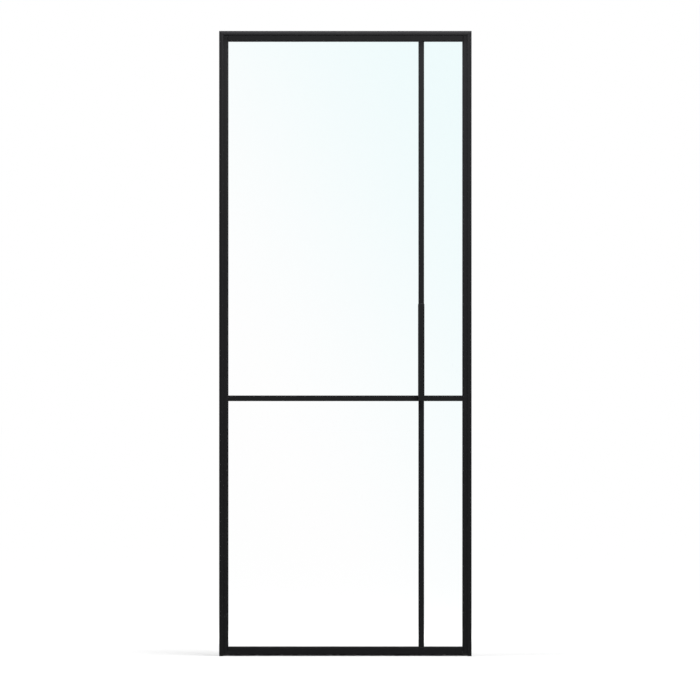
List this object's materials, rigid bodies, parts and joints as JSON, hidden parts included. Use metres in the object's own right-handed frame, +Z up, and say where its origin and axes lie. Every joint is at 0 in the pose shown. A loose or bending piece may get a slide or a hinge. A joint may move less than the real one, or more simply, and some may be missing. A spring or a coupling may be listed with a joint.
{
  "type": "glass door",
  "caption": "Slim black framed glass door leaf with an upright bar, a cross bar and strip pull handles, hung on flush hinges in its own angle frame.",
  "frame": {"origin": "floor level, middle of the frame's width, middle of the closed leaf's thickness", "axes": "+Z up, +X to the right seen from the front, +Y from the front to the back, where the hinges are; hinges at -X"},
  "size_m": [0.848, 0.104, 2.1],
  "materials": {
    "powder_coated_aluminium": "matte black fine-texture powder coat",
    "black_steel": "matte black coated steel",
    "zinc_plated_steel": "bright zinc",
    "brass": "satin",
    "seal_rubber": "matte",
    "black_nylon": "matte",
    "brush_pile": "dense fibre pile",
    "toughened_glass": "polished"
  },
  "bodies": {
    "frame": {"hinge_jamb": "powder_coated_aluminium", "closing_jamb": "powder_coated_aluminium", "head": "powder_coated_aluminium", "hinge_jamb_face": "powder_coated_aluminium", "closing_jamb_face": "powder_coated_aluminium", "head_face": "powder_coated_aluminium", "cleat_left": "zinc_plated_steel", "cleat_right": "zinc_plated_steel", "cleat_screws": "zinc_plated_steel", "seal_hinge_side": "seal_rubber", "seal_closing_side": "seal_rubber", "seal_head": "seal_rubber", "catch_keeper": "zinc_plated_steel", "keeper_screws": "zinc_plated_steel", "hinge_frame_wing_bottom": "black_steel", "hinge_frame_wing_middle": "black_steel", "hinge_frame_wing_top": "black_steel", "hinge_pin_bottom": "zinc_plated_steel", "hinge_pin_middle": "zinc_plated_steel", "hinge_pin_top": "zinc_plated_steel", "hinge_washers": "brass", "hinge_frame_screws": "zinc_plated_steel"},
    "leaf": {"hinge_leaf_wing_bottom": "black_steel", "hinge_leaf_wing_middle": "black_steel", "hinge_leaf_wing_top": "black_steel", "hinge_leaf_screws": "zinc_plated_steel", "hinge_backing_plates": "zinc_plated_steel", "hinge_stile": "powder_coated_aluminium", "closing_stile": "powder_coated_aluminium", "top_rail": "powder_coated_aluminium", "bottom_rail": "powder_coated_aluminium", "corner_screws": "zinc_plated_steel", "cap_hinge_bottom": "black_nylon", "cap_hinge_top": "black_nylon", "cap_closing_bottom": "black_nylon", "cap_closing_top": "black_nylon", "glass_pane": "toughened_glass", "gasket_hinge_side": "seal_rubber", "gasket_closing_side": "seal_rubber", "gasket_top": "seal_rubber", "gasket_bottom": "seal_rubber", "setting_blocks": "seal_rubber", "upright_bar_front": "powder_coated_aluminium", "upright_bar_back": "powder_coated_aluminium", "cross_bar_front_left": "powder_coated_aluminium", "cross_bar_front_right": "powder_coated_aluminium", "cross_bar_back_left": "powder_coated_aluminium", "cross_bar_back_right": "powder_coated_aluminium", "bar_tape_front": "seal_rubber", "bar_tape_back": "seal_rubber", "handle_front": "powder_coated_aluminium", "handle_back": "powder_coated_aluminium", "handle_posts_front": "powder_coated_aluminium", "handle_posts_back": "powder_coated_aluminium", "handle_studs": "zinc_plated_steel", "pane_grommets": "black_nylon", "brush_seal": "brush_pile", "catch_magnet": "zinc_plated_steel"}
  },
  "joints": [
    {"name": "leaf_swing", "type": "hinge", "parent": "frame", "child": "leaf", "pos_m": [-0.4175, 0.0225, 0], "axis": [0, 0, 1], "range_deg": [0, 110]}
  ]
}
